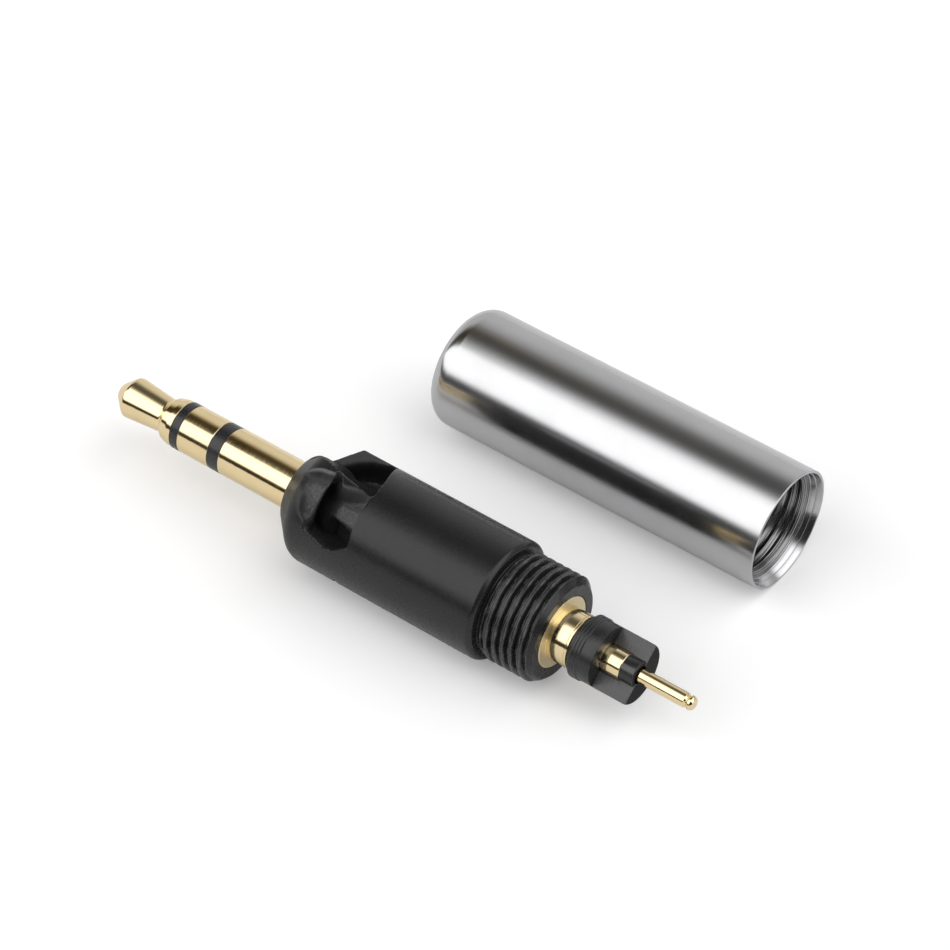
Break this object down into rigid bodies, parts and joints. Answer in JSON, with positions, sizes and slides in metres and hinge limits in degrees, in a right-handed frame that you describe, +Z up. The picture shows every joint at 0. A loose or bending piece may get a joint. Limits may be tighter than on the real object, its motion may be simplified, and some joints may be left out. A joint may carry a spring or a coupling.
{
  "type": "stereo jack plug",
  "caption": "Small twist-lock stereo jack plug with gold contacts, black threaded body and solder terminals, its chromed screw-on barrel taken off and lying beside it.",
  "frame": {"origin": "on the plug's axis, at the front face of the body where the contact shaft leaves it", "axes": "+X along the plug from the tip towards the solder terminals, +Z up, the barrel lies on the +Y side"},
  "size_m": [0.0341, 0.0179, 0.0063],
  "materials": {
    "gold": "polished gold plating on turned brass",
    "black_plastic": "smooth moulded black",
    "body_plastic": "satin moulded black, rough in the lock pockets",
    "chrome": "chrome plating over fine turning marks"
  },
  "bodies": {
    "root": {"tip_contact": "gold", "tip_insulator": "black_plastic", "ring_contact": "gold", "ring_insulator": "black_plastic", "sleeve_contact": "gold", "terminal_block": "black_plastic", "lock_body": "body_plastic", "barrel": "chrome"}
  },
  "joints": []
}
